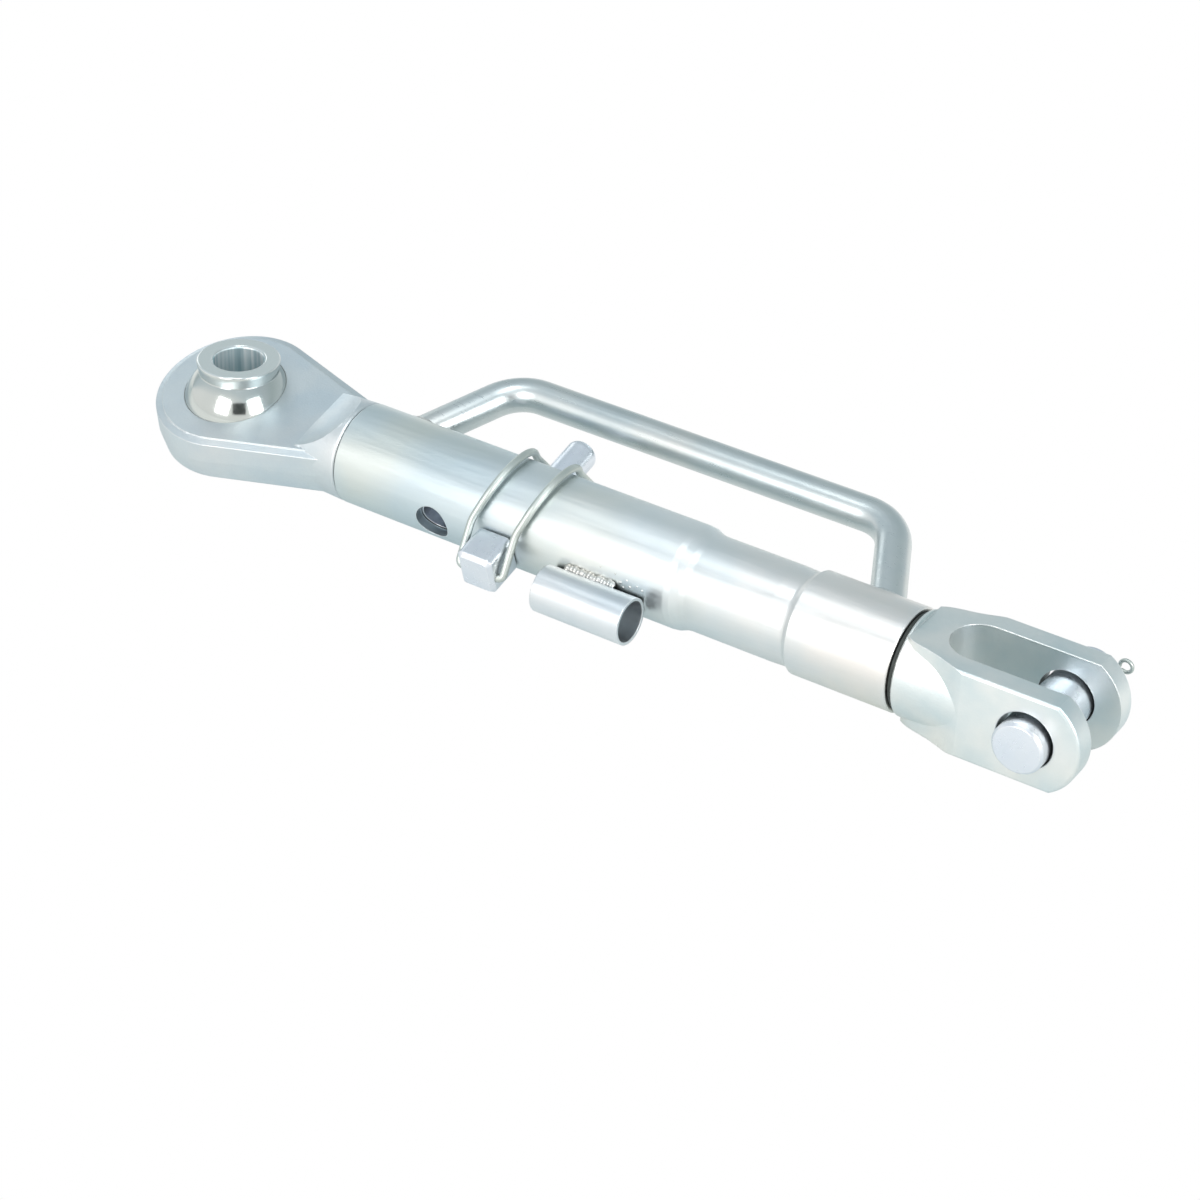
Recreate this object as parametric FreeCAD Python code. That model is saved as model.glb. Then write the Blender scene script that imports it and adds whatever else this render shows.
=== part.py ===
import FreeCAD, Part
import math
import os

# Telescopic stabilizer bar for a tractor's lower link. Millimetres.
# Origin: centre of the swivel ball. +X runs along the bar to the clevis and +Z along the ball's bore.
# The bar's own pieces are drawn flat, with the forged eye's face level, and then rolled about +X.

os.makedirs("parts", exist_ok=True)

Vector = FreeCAD.Vector
ALONG = Vector(1, 0, 0)
ACROSS = Vector(0, 1, 0)
UP = Vector(0, 0, 1)

# Driving dimensions
bar_roll = 15.5
running_gap = 0.08
free_gap = 0.35

tube_diameter = 44.5
tube_start = 68.5
tube_end = 335.9
tube_bore = 36.5
waist_start = 234.3
waist_diameter = 40.6
waist_taper = 9.0
waist_end = 280.0
sleeve_start = 288.5
sleeve_diameter = 43.9
sleeve_edge = 2.4

ball_diameter = 50.0
ball_bore = 22.1
ball_width = 47.4
collar_diameter = 36.4
collar_height = 1.4
collar_neck_diameter = 34.8

eye_thickness = 22.1
eye_face_diameter = 64.6
eye_rim_diameter = 72.8
eye_step = 0.6
eye_ledge_drop = 1.1
eye_draft = 0.9
flank_angle = 16.0
flare_start = 46.0
flare_end = 66.0
flare_hollow = 1.6
flare_taper = 0.9
eye_collar_diameter = 44.2
eye_collar_edge = 0.7

shank_diameter = 35.8
shank_end = 212.0
spigot_diameter = 24.0
spigot_length = 9.0
float_travel = 25.0

spare_hole_x = 119.7
spare_hole_diameter = 16.0
pin_x = 153.7
pin_diameter = 13.7
pin_tip_y = 43.4
pin_tip_round = 3.6
head_width = 17.0
head_length = 16.4
head_low = -8.6
head_high = 9.8
head_corner = 3.0
head_front_chamfer = 1.8
head_spigot_step = 1.5
head_spigot_length = 3.0

wire_diameter = 3.3
wire_bend = 2.2
pivot_y = -35.4
pivot_z = -1.1
bail_half_width = 10.9
bail_lean = 13.5
bail_straight_near = 19.0
bail_straight_far = 37.0
bail_side_bend = 15.0
bail_hug_radius = 25.1
bail_crown_bend = 24.0
bail_leave_angle = 27.0
bail_reach = 41.5
bight_bend = 8.6

handle_diameter = 15.0
handle_offset = 62.7
handle_left_foot_x = 84.5
handle_left_corner_x = 106.5
handle_right_corner_x = 293.0
handle_right_foot_x = 312.4
handle_bend = 21.0
handle_weld_reach = 3.6
handle_weld_height = 3.8

holder_diameter = 20.2
holder_bore = 17.6
holder_start = 183.2
holder_end = 225.4
holder_weld_start = 190.0
holder_weld_end = 212.0
holder_weld_diameter = 8.6
holder_weld_root = 2.6

clevis_width = 44.8
clevis_height = 39.4
seal_space = 2.3
clevis_shoulder_length = 30.8
clevis_pin_reach = 58.0
slot_inset = 13.8
clevis_collar_diameter = 44.4
clevis_collar_length = 1.4
clevis_nose_radius = 23.2
slot_width = 25.6
clevis_hole_diameter = 23.9
clevis_hole_chamfer = 0.4
clevis_edge_round = 1.4

clevis_pin_diameter = 22.0
clevis_pin_near_stand_out = 6.0
clevis_pin_far_stand_out = 15.0
split_pin_wire = 3.2
split_pin_offset = 10.5
split_pin_angle = 35.0
split_pin_eye_distance = 17.6
split_pin_eye_diameter = 7.0
split_pin_tip_stand_out = 5.5

screw_diameter = 27.0
screw_tip_x = 246.0
screw_spigot_step = 3.0
screw_spigot_length = 7.5
bush_start = 291.0
bush_inset = 2.5
bush_diameter = 35.9
seal_diameter = 40.8

# Sizes worked out from them
clevis_start = tube_end + seal_space
clevis_shoulder_end = clevis_start + clevis_shoulder_length
pivot_pin_x = clevis_start + clevis_pin_reach
slot_start = clevis_start + slot_inset
bush_end = tube_end - bush_inset
tube_radius = tube_diameter / 2
sleeve_radius = sleeve_diameter / 2
ball_radius = ball_diameter / 2
socket_radius = ball_radius + running_gap
half_eye = eye_thickness / 2
cross_hole_radius = pin_diameter / 2 + free_gap
wire_radius = wire_diameter / 2
handle_radius = handle_diameter / 2
holder_axis_y = -(tube_radius + holder_diameter / 2)
clevis_pin_slack = (clevis_hole_diameter - clevis_pin_diameter) / 2 - running_gap
pin_seat_z = -clevis_pin_slack


# Shape helpers
def rod(start, end, diameter):
    direction = end.sub(start)
    return Part.makeCylinder(diameter / 2, direction.Length, start, direction)


def face_of(points):
    return Part.Face(Part.makePolygon(points + [points[0]]))


def turned(profile, axis):
    """Revolve (along, radius) points about an axis through the origin."""
    if axis == "x":
        points = [Vector(along, radius, 0) for along, radius in profile]
        return face_of(points).revolve(Vector(0, 0, 0), ALONG, 360)
    points = [Vector(radius, 0, along) for along, radius in profile]
    return face_of(points).revolve(Vector(0, 0, 0), UP, 360)


def swept_rod(corners, bends, diameter):
    """Bend a round bar through the corners, with one centre-line radius for each inner corner."""
    pieces = []
    last = corners[0]
    for index, bend in enumerate(bends, start=1):
        corner = corners[index]
        back = corners[index - 1].sub(corner).normalize()
        ahead = corners[index + 1].sub(corner).normalize()
        inside_angle = back.getAngle(ahead)
        setback = bend / math.tan(inside_angle / 2)
        bisector = back.add(ahead).normalize()
        centre = corner.add(bisector * (bend / math.sin(inside_angle / 2)))
        first = corner.add(back * setback)
        section = Part.Face(Part.Wire(Part.makeCircle(diameter / 2, first, back)))
        turn = 180 - math.degrees(inside_angle)
        pieces.append(rod(last, first, diameter))
        pieces.append(section.revolve(centre, ahead.cross(back), turn))
        last = corner.add(ahead * setback)
    pieces.append(rod(last, corners[-1], diameter))
    return pieces[0].multiFuse(pieces[1:])


def rolled(shape):
    """Lay the bar's own pieces the way the bar rests: rolled about its long axis."""
    turned_shape = shape.copy()
    turned_shape.rotate(Vector(0, 0, 0), ALONG, bar_roll)
    return turned_shape


def save(name, shape):
    clean = shape.removeSplitter()
    if not clean.isValid() or clean.Volume <= 0:
        clean = shape
    print(name, "valid", clean.isValid(), "solids", len(clean.Solids), "volume", round(clean.Volume, 1))
    clean.exportStep("parts/" + name + ".step")


# Swivel ball: turned barrel with flat collars and a straight bore
def make_swivel_ball():
    half = ball_width / 2
    bore = ball_bore / 2
    collar = collar_diameter / 2
    bore_chamfer = 0.9
    collar_edge = 0.5
    neck = collar_neck_diameter / 2
    neck_meets_ball = math.sqrt(ball_radius ** 2 - neck ** 2)
    outline = [
        Vector(bore, 0, -half + bore_chamfer),
        Vector(bore + bore_chamfer, 0, -half),
        Vector(collar - collar_edge, 0, -half),
        Vector(collar, 0, -half + collar_edge),
        Vector(collar, 0, -half + collar_height),
        Vector(neck, 0, -neck_meets_ball),
    ]
    upper = [Vector(point.x, 0, -point.z) for point in reversed(outline)]
    lower_run = Part.makePolygon(outline).Edges
    belly = Part.Arc(outline[-1], Vector(ball_radius, 0, 0), upper[0]).toShape()
    upper_run = Part.makePolygon(upper).Edges
    inner = Part.makeLine(upper[-1], outline[0])
    profile = Part.Face(Part.Wire(lower_run + [belly] + upper_run + [inner]))
    return profile.revolve(Vector(0, 0, 0), UP, 360)


# Forged eye: ring and neck with a ledge round the face, and ramps rising to the collar by the tube
def neck_outline(distance, height):
    """The neck's plan at a height: straight flanks that touch the ring and narrow toward the tube."""
    slope = math.radians(flank_angle)

    def flank(x):
        return (distance - x * math.sin(slope)) / math.cos(slope)

    wide = flank(0)
    narrow = flank(flare_end)
    return Part.makePolygon(
        [
            Vector(0, -wide, height),
            Vector(flare_end, -narrow, height),
            Vector(flare_end, narrow, height),
            Vector(0, wide, height),
            Vector(0, -wide, height),
        ]
    )


def make_flare():
    """Round collar cut by a hollow ramp above and below, so that it grows out of the flat eye."""
    collar = eye_collar_diameter / 2
    shoulder = tube_start - free_gap
    middle_x = (flare_start + flare_end) / 2
    middle_z = (half_eye + collar) / 2 - flare_hollow
    low_start = Vector(flare_start, -collar, 0)
    ramp_start = Vector(flare_start, -collar, half_eye)
    ramp_end = Vector(flare_end, -collar, collar)
    ramp = Part.Arc(ramp_start, Vector(middle_x, -collar, middle_z), ramp_end)
    upper_shoulder = Vector(shoulder, -collar, collar)
    low_shoulder = Vector(shoulder, -collar, 0)
    side = Part.Face(
        Part.Wire(
            [
                Part.makeLine(low_start, ramp_start),
                ramp.toShape(),
                Part.makeLine(ramp_end, upper_shoulder),
                Part.makeLine(upper_shoulder, low_shoulder),
                Part.makeLine(low_shoulder, low_start),
            ]
        )
    ).extrude(Vector(0, 2 * collar, 0))
    side = side.fuse(side.mirror(Vector(0, 0, 0), UP)).removeSplitter()
    round_body = turned(
        [
            (flare_start, 0),
            (flare_start, collar - flare_taper),
            (flare_end, collar),
            (shoulder - eye_collar_edge, collar),
            (shoulder, collar - eye_collar_edge),
            (shoulder, 0),
        ],
        "x",
    )
    return round_body.common(side)


def eye_section(rim, ledge):
    """Right half of the forging's section: drafted side, sloping ledge, small step and flat face."""
    step_z = half_eye - eye_step
    ledge_z = step_z - eye_ledge_drop
    edge = rim - eye_draft
    upper = [(rim, 0), (edge, ledge_z), (edge - ledge, step_z), (edge - ledge, half_eye)]
    lower = [(reach, -height) for reach, height in reversed(upper[1:])]
    return lower + upper


def make_neck(section):
    """Stack of straight-flanked slices between the heights of the forging's section."""
    neck = None
    for (low_reach, low), (high_reach, high) in zip(section[:-1], section[1:]):
        slices = [neck_outline(low_reach, low), neck_outline(high_reach, high)]
        layer = Part.makeLoft(slices, True, True)
        neck = layer if neck is None else neck.fuse(layer)
    return neck


def make_ball_end_forging():
    rim = eye_rim_diameter / 2
    ledge = rim - eye_draft - eye_face_diameter / 2
    section = eye_section(rim, ledge)
    ring_profile = [Vector(reach, 0, height) for reach, height in section]
    ring_profile = [Vector(0, 0, -half_eye)] + ring_profile + [Vector(0, 0, half_eye)]
    ring = face_of(ring_profile).revolve(Vector(0, 0, 0), UP, 360)
    neck = make_neck(section)

    body = ring.fuse(neck).fuse(make_flare())
    body = body.removeSplitter()
    body = body.cut(Part.makeSphere(socket_radius))
    opening = math.sqrt(socket_radius ** 2 - half_eye ** 2)
    lip = 0.5
    lip_cut = Part.makeCone(opening - lip, opening + lip, 2 * lip, Vector(0, 0, half_eye - lip), UP)
    body = body.cut(lip_cut)
    body = body.cut(lip_cut.mirror(Vector(0, 0, 0), UP))
    spigot_x = tube_start - free_gap - spigot_length
    spigot_hole = Part.makeCylinder(spigot_diameter / 2, spigot_length, Vector(spigot_x, 0, 0), ALONG)
    return body.cut(spigot_hole)


# Sliding shank inside the tube, with the float slot and the spare hole
def make_ball_end_shank():
    shoulder = tube_start - free_gap
    radius = shank_diameter / 2
    spigot = spigot_diameter / 2
    end_bevel = 1.5
    shank = turned(
        [
            (shoulder - spigot_length, 0),
            (shoulder - spigot_length, spigot),
            (shoulder, spigot),
            (shoulder, radius),
            (shank_end - end_bevel, radius),
            (shank_end, radius - end_bevel),
            (shank_end, 0),
        ],
        "x",
    )
    reach = tube_diameter
    for hole_x, length in ((spare_hole_x, 0), (pin_x, float_travel)):
        first = Part.makeCylinder(cross_hole_radius, 2 * reach, Vector(hole_x, -reach, 0), ACROSS)
        last = Part.makeCylinder(cross_hole_radius, 2 * reach, Vector(hole_x + length, -reach, 0), ACROSS)
        shank = shank.cut(first)
        if length > 0:
            middle = Part.makeBox(
                length, 2 * reach, 2 * cross_hole_radius, Vector(hole_x, -reach, -cross_hole_radius)
            )
            shank = shank.cut(middle.fuse(last))
    return shank


# Main tube: swaged waist, rolled crease and the sleeve pressed over the threaded bush
def make_main_tube():
    waist = waist_diameter / 2
    edge = 0.6
    waist_bore = 15.0
    outer = [
        (tube_start + edge, tube_radius),
        (waist_start, tube_radius),
        (waist_start + waist_taper * 0.3, tube_radius - (tube_radius - waist) * 0.15),
        (waist_start + waist_taper * 0.7, tube_radius - (tube_radius - waist) * 0.85),
        (waist_start + waist_taper, waist),
        (waist_end, waist),
        (sleeve_start - 1.2, waist - 0.3),
        (sleeve_start, waist - 0.1),
        (sleeve_start + sleeve_edge, sleeve_radius),
        (tube_end - edge, sleeve_radius),
        (tube_end, sleeve_radius - edge),
    ]
    bush_radius = bush_diameter / 2
    inner = [
        (tube_end, bush_radius),
        (bush_start, bush_radius),
        (bush_start - 3.0, waist_bore + 0.8),
        (waist_start + waist_taper + 2.0, waist_bore + 0.8),
        (waist_start, tube_bore / 2),
        (tube_start, tube_bore / 2),
        (tube_start, tube_radius - edge),
    ]
    tube = turned(outer + inner, "x")
    for hole_x, radius in ((spare_hole_x, spare_hole_diameter / 2), (pin_x, cross_hole_radius)):
        hole = Part.makeCylinder(radius, 4 * tube_radius, Vector(hole_x, -2 * tube_radius, 0), ACROSS)
        tube = tube.cut(hole)
    return tube


def make_threaded_bush():
    bore = screw_diameter / 2 + running_gap
    bevel = 1.0
    return turned(
        [
            (bush_start, bore + bevel),
            (bush_start, bush_diameter / 2),
            (bush_end, bush_diameter / 2),
            (bush_end, bore + bevel),
            (bush_end - bevel, bore),
            (bush_start + bevel, bore),
        ],
        "x",
    )


# Turning handle: one bent round bar, coped to the tube at both feet
def handle_corners():
    sink = 0.25
    left_foot = Vector(handle_left_foot_x, tube_radius, 0)
    left_corner = Vector(handle_left_corner_x, handle_offset, 0)
    right_corner = Vector(handle_right_corner_x, handle_offset, 0)
    right_foot = Vector(handle_right_foot_x, sleeve_radius, 0)
    return [
        left_foot.sub(left_corner.sub(left_foot) * sink),
        left_corner,
        right_corner,
        right_foot.sub(right_corner.sub(right_foot) * sink),
    ]


def make_handle():
    bar = swept_rod(handle_corners(), [handle_bend, handle_bend], handle_diameter)
    tube_space = Part.makeCylinder(tube_radius, waist_end - tube_start, Vector(tube_start, 0, 0), ALONG)
    sleeve_length = tube_end - sleeve_start
    sleeve_space = Part.makeCylinder(sleeve_radius, sleeve_length, Vector(sleeve_start, 0, 0), ALONG)
    return bar.cut(tube_space).cut(sleeve_space)


def make_handle_weld(foot_x, corner_x, surface_radius):
    """A fillet bead round the handle's foot, drawn as a cone and cut back to the tube and the bar."""
    foot = Vector(foot_x, surface_radius, 0)
    direction = Vector(corner_x - foot_x, handle_offset - surface_radius, 0).normalize()
    depth = 6.0
    slope = handle_weld_reach / handle_weld_height
    top = foot.add(direction * handle_weld_height)
    base = foot.sub(direction * depth)
    base_radius = handle_radius + handle_weld_reach + depth * slope * 0.5
    bead = Part.makeCone(base_radius, handle_radius + 0.4, handle_weld_height + depth, base, direction)
    bar = Part.makeCylinder(handle_radius, 40, base.sub(direction * 10), direction)
    tube = Part.makeCylinder(surface_radius, 120, Vector(foot_x - 60, 0, 0), ALONG)
    return bead.cut(bar).cut(tube)


# Holder: short open tube laid along the bar, with a bead in each valley
def make_holder_tube():
    start = Vector(holder_start, holder_axis_y, 0)
    end = Vector(holder_end, holder_axis_y, 0)
    tube = rod(start, end, holder_diameter)
    return tube.cut(rod(start, end, holder_bore))


def make_holder_weld(side):
    valley_y = -tube_radius + 1.2
    valley_z = side * 5.2
    start = Vector(holder_weld_start, valley_y, valley_z)
    end = Vector(holder_weld_end, valley_y, valley_z)
    end_round = holder_weld_diameter / 2
    bead = rod(start, end, holder_weld_diameter)
    bead = bead.fuse(Part.makeSphere(end_round, start)).fuse(Part.makeSphere(end_round, end))
    bead = bead.cut(Part.makeCylinder(tube_radius, 80, Vector(holder_start - 20, 0, 0), ALONG))
    bead = bead.cut(Part.makeCylinder(holder_diameter / 2, 80, Vector(holder_start - 20, holder_axis_y, 0), ALONG))
    keep_low = holder_weld_root if side > 0 else -30 - holder_weld_root
    keep = Part.makeBox(90, 60, 30, Vector(holder_start - 20, -60, keep_low))
    pieces = bead.common(keep).Solids
    return max(pieces, key=lambda piece: piece.Volume)


# Locking pin: turned shank, and a square head drilled for the wire
def make_locking_pin():
    radius = pin_diameter / 2
    head_face = -(tube_radius + free_gap)
    spigot = radius - head_spigot_step
    corner = radius - pin_tip_round * (1 - math.sqrt(0.5))
    tip_start = Vector(radius, pin_tip_y - pin_tip_round, 0)
    tip_middle = Vector(corner, pin_tip_y - radius + corner, 0)
    tip_end = Vector(radius - pin_tip_round, pin_tip_y, 0)
    foot = [
        tip_end,
        Vector(0, pin_tip_y, 0),
        Vector(0, head_face - head_spigot_length, 0),
        Vector(spigot, head_face - head_spigot_length, 0),
        Vector(spigot, head_face, 0),
        Vector(radius, head_face, 0),
        tip_start,
    ]
    runs = Part.makePolygon(foot).Edges
    profile = Part.Face(Part.Wire(runs + [Part.Arc(tip_start, tip_middle, tip_end).toShape()]))
    shank = profile.revolve(Vector(0, 0, 0), ACROSS, 360)
    shank.translate(Vector(pin_x, 0, 0))
    return shank


def make_pin_head():
    head_face = -(tube_radius + free_gap)
    corner = Vector(pin_x - head_width / 2, head_face - head_length, head_low)
    block = Part.makeBox(head_width, head_length, head_high - head_low, corner)
    long_edges = [edge for edge in block.Edges if abs(edge.tangentAt(0).y) > 0.9]
    block = block.makeFillet(head_corner, long_edges)
    front = [edge for edge in block.Edges if edge.BoundBox.YMax < head_face - head_length + 0.01]
    block = block.makeChamfer(head_front_chamfer, front)
    socket = Part.makeCylinder(
        pin_diameter / 2 - head_spigot_step, head_spigot_length,
        Vector(pin_x, head_face - head_spigot_length, 0), ACROSS,
    )
    pivot = Part.makeCylinder(
        wire_radius + running_gap, 2 * head_width, Vector(pin_x - head_width, pivot_y, pivot_z), ALONG
    )
    return block.cut(socket).cut(pivot)


# Wire bail: one length of spring wire bent over the tube and closed round the pin's tip
def bail_corners():
    pivot_distance = math.hypot(pivot_y, pivot_z)
    pivot_angle = math.atan2(pivot_z, pivot_y) % (2 * math.pi)
    touch_angle = pivot_angle - math.acos(bail_hug_radius / pivot_distance)
    leave_angle = math.radians(bail_leave_angle)
    middle_angle = (touch_angle + leave_angle) / 2
    peak_radius = bail_hug_radius / math.cos((touch_angle - leave_angle) / 2)
    peak_y = peak_radius * math.cos(middle_angle)
    peak_z = peak_radius * math.sin(middle_angle)
    leave_y = bail_hug_radius * math.cos(leave_angle)
    leave_z = bail_hug_radius * math.sin(leave_angle)
    bight_y = leave_y + bail_reach * math.sin(leave_angle)
    bight_z = leave_z - bail_reach * math.cos(leave_angle)
    near = Vector(0, pivot_y, pivot_z)
    peak = Vector(0, peak_y, peak_z)
    far = Vector(0, bight_y, bight_z)
    beside_head = near.add(peak.sub(near).normalize() * bail_straight_near)
    beside_tip = far.add(peak.sub(far).normalize() * bail_straight_far)
    stub = head_width / 2 - 4.5

    def placed(point, x):
        return Vector(pin_x + x, point.y, point.z)

    half = bail_half_width
    return [
        placed(near, stub),
        placed(near, half),
        placed(beside_head, half),
        placed(peak, half + bail_lean),
        placed(beside_tip, half),
        placed(far, half),
        placed(far, -half),
        placed(beside_tip, -half),
        placed(peak, -half + bail_lean),
        placed(beside_head, -half),
        placed(near, -half),
        placed(near, -stub),
    ]


def make_wire_bail():
    strand = [bail_side_bend, bail_crown_bend, bail_side_bend]
    bends = [wire_bend] + strand + [bight_bend, bight_bend] + strand + [wire_bend]
    return swept_rod(bail_corners(), bends, wire_diameter)


# Clevis: a round collar whose corners grow out into a flat-sided fork
def shoulder_plan():
    """Half of the fork's plan, as (x, half width): it widens from the collar and runs out past the fork's side."""
    start = clevis_start + clevis_collar_length
    half_width = clevis_width / 2
    flat_on_collar = math.sqrt((clevis_collar_diameter / 2) ** 2 - (clevis_height / 2) ** 2)
    reach = clevis_shoulder_end - start
    rise = half_width - flat_on_collar
    steps = [(0, 0.22), (0.18, 0.43), (0.37, 0.54), (0.56, 0.67), (0.745, 0.84), (0.93, 0.985), (1.07, 1.02)]
    return [(start + reach * along, flat_on_collar + rise * up) for along, up in steps]


def make_clevis_fork():
    half_width = clevis_width / 2
    half_height = clevis_height / 2
    nose_run = math.sqrt(clevis_nose_radius ** 2 - half_height ** 2)
    collar = clevis_collar_diameter / 2
    body_start = clevis_start + clevis_collar_length
    side = [
        Part.makeLine(Vector(body_start, 0, -half_height), Vector(pivot_pin_x + nose_run, 0, -half_height)),
        Part.Arc(
            Vector(pivot_pin_x + nose_run, 0, -half_height),
            Vector(pivot_pin_x + clevis_nose_radius, 0, 0),
            Vector(pivot_pin_x + nose_run, 0, half_height),
        ).toShape(),
        Part.makeLine(Vector(pivot_pin_x + nose_run, 0, half_height), Vector(body_start, 0, half_height)),
        Part.makeLine(Vector(body_start, 0, half_height), Vector(body_start, 0, -half_height)),
    ]
    block = Part.Face(Part.Wire(side)).extrude(Vector(0, clevis_width, 0))
    block.translate(Vector(0, -half_width, 0))
    rim = [
        edge for edge in block.Edges
        if abs(abs(edge.CenterOfMass.y) - half_width) < 0.01 and edge.BoundBox.XMax > body_start + 1
    ]
    block = block.makeFillet(clevis_edge_round, rim)

    shoulder = shoulder_plan()
    curve = Part.BSplineCurve()
    curve.interpolate([Vector(x, y, -half_height - 1) for x, y in shoulder])
    base_z = -half_height - 1
    past_nose = pivot_pin_x + 2 * clevis_nose_radius
    past_side = half_width + 2
    (start_x, start_y), (end_x, end_y) = shoulder[0], shoulder[-1]
    corners = [
        Vector(end_x, end_y, base_z),
        Vector(end_x, past_side, base_z),
        Vector(past_nose, past_side, base_z),
        Vector(past_nose, 0, base_z),
        Vector(start_x, 0, base_z),
        Vector(start_x, start_y, base_z),
    ]
    outline = [curve.toShape()] + Part.makePolygon(corners).Edges
    half_plan = Part.Face(Part.Wire(outline)).extrude(Vector(0, 0, clevis_height + 2))
    plan = half_plan.fuse(half_plan.mirror(Vector(0, 0, 0), ACROSS))
    fork = block.common(plan.removeSplitter())

    edge = 0.8
    collar_ring = turned(
        [
            (clevis_start, 0),
            (clevis_start, collar - edge),
            (clevis_start + edge, collar),
            (body_start, collar),
            (body_start, 0),
        ],
        "x",
    )
    trunk_end = clevis_shoulder_end + 4
    trunk = Part.makeCylinder(collar, trunk_end - body_start, Vector(body_start, 0, 0), ALONG)
    trunk = trunk.common(
        Part.makeBox(
            trunk_end - body_start, clevis_width, clevis_height, Vector(body_start, -half_width, -half_height)
        )
    )
    fork = fork.fuse(trunk).fuse(collar_ring).removeSplitter()

    half_slot = slot_width / 2
    slot_round_x = slot_start + half_slot
    slot = Part.makeCylinder(half_slot, clevis_height + 4, Vector(slot_round_x, 0, -half_height - 2), UP)
    slot = slot.fuse(
        Part.makeBox(100, slot_width, clevis_height + 4, Vector(slot_round_x, -half_slot, -half_height - 2))
    )
    hole_radius = clevis_hole_diameter / 2
    hole = Part.makeCylinder(hole_radius, 80, Vector(pivot_pin_x, -40, 0), ACROSS)
    countersink = Part.makeCone(
        hole_radius + clevis_hole_chamfer, hole_radius, clevis_hole_chamfer,
        Vector(pivot_pin_x, -half_width, 0), ACROSS,
    )
    hole = hole.fuse(countersink).fuse(countersink.mirror(Vector(0, 0, 0), ACROSS))
    fork = fork.cut(slot.removeSplitter()).cut(hole)
    seat_radius = screw_diameter / 2 - screw_spigot_step
    seat = Part.makeCylinder(seat_radius, screw_spigot_length, Vector(clevis_start, 0, 0), ALONG)
    return fork.cut(seat)


def make_clevis_screw():
    radius = screw_diameter / 2
    spigot = radius - screw_spigot_step
    spigot_end = clevis_start + screw_spigot_length
    tip_bevel = 2.0
    return turned(
        [
            (screw_tip_x, 0),
            (screw_tip_x, radius - tip_bevel),
            (screw_tip_x + tip_bevel, radius),
            (clevis_start, radius),
            (clevis_start, spigot),
            (spigot_end, spigot),
            (spigot_end, 0),
        ],
        "x",
    )


def make_seal_ring():
    outer = seal_diameter / 2
    inner = screw_diameter / 2 + running_gap
    start = tube_end + free_gap - 0.05
    end = clevis_start - free_gap + 0.05
    bevel = 0.3
    return turned(
        [
            (start, inner),
            (start, outer - bevel),
            (start + bevel, outer),
            (end - bevel, outer),
            (end, outer - bevel),
            (end, inner),
        ],
        "x",
    )


# Clevis pin lying low in its hole, with a split pin through the far end
def split_pin_direction():
    angle = math.radians(split_pin_angle)
    return Vector(math.cos(angle), 0, math.sin(angle))


def split_pin_centre():
    return Vector(pivot_pin_x, clevis_width / 2 + split_pin_offset, pin_seat_z)


def make_clevis_pin():
    radius = clevis_pin_diameter / 2
    near = -clevis_width / 2 - clevis_pin_near_stand_out
    far = clevis_width / 2 + clevis_pin_far_stand_out
    bevel = 1.1
    profile = [
        Vector(0, near, 0),
        Vector(radius - bevel, near, 0),
        Vector(radius, near + bevel, 0),
        Vector(radius, far - bevel, 0),
        Vector(radius - bevel, far, 0),
        Vector(0, far, 0),
    ]
    pin = face_of(profile).revolve(Vector(0, 0, 0), ACROSS, 360)
    pin.translate(Vector(pivot_pin_x, 0, pin_seat_z))
    direction = split_pin_direction()
    hole = rod(
        split_pin_centre().sub(direction * radius * 2), split_pin_centre().add(direction * radius * 2),
        split_pin_wire + 2 * running_gap,
    )
    return pin.cut(hole)


def make_split_pin():
    direction = split_pin_direction()
    centre = split_pin_centre()
    pin_radius = clevis_pin_diameter / 2
    eye_distance = split_pin_eye_distance
    tip = centre.sub(direction * (pin_radius + split_pin_tip_stand_out))
    legs = rod(tip, centre.add(direction * (eye_distance - split_pin_eye_diameter / 4)), split_pin_wire)
    ring_radius = (split_pin_eye_diameter - split_pin_wire / 2) / 2
    eye = Part.makeTorus(
        ring_radius, split_pin_wire / 4, centre.add(direction * eye_distance), ACROSS
    )
    return legs.fuse(eye)


bar_pieces = {
    "main_tube": make_main_tube(),
    "threaded_bush": make_threaded_bush(),
    "turning_handle": make_handle(),
    "handle_weld_left": make_handle_weld(handle_left_foot_x, handle_left_corner_x, tube_radius),
    "handle_weld_right": make_handle_weld(handle_right_foot_x, handle_right_corner_x, sleeve_radius),
    "holder_tube": make_holder_tube(),
    "holder_weld_upper": make_holder_weld(1),
    "holder_weld_lower": make_holder_weld(-1),
    "ball_end_forging": make_ball_end_forging(),
    "ball_end_shank": make_ball_end_shank(),
    "locking_pin": make_locking_pin(),
    "locking_pin_head": make_pin_head(),
    "wire_bail": make_wire_bail(),
}
level_pieces = {
    "swivel_ball": make_swivel_ball(),
    "dust_seal_ring": make_seal_ring(),
    "clevis_fork": make_clevis_fork(),
    "clevis_screw": make_clevis_screw(),
    "clevis_pin": make_clevis_pin(),
    "split_pin": make_split_pin(),
}

for name, shape in bar_pieces.items():
    save(name, rolled(shape))
for name, shape in level_pieces.items():
    save(name, shape)
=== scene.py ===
# %% [markdown]
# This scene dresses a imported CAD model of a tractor's telescopic stabilizer bar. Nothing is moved
# here. We only add a camera, light, materials and the small forms that a CAD model leaves out.

# %% Load the frame
import math
import random

import bpy
from mathutils import Matrix, Vector


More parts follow.
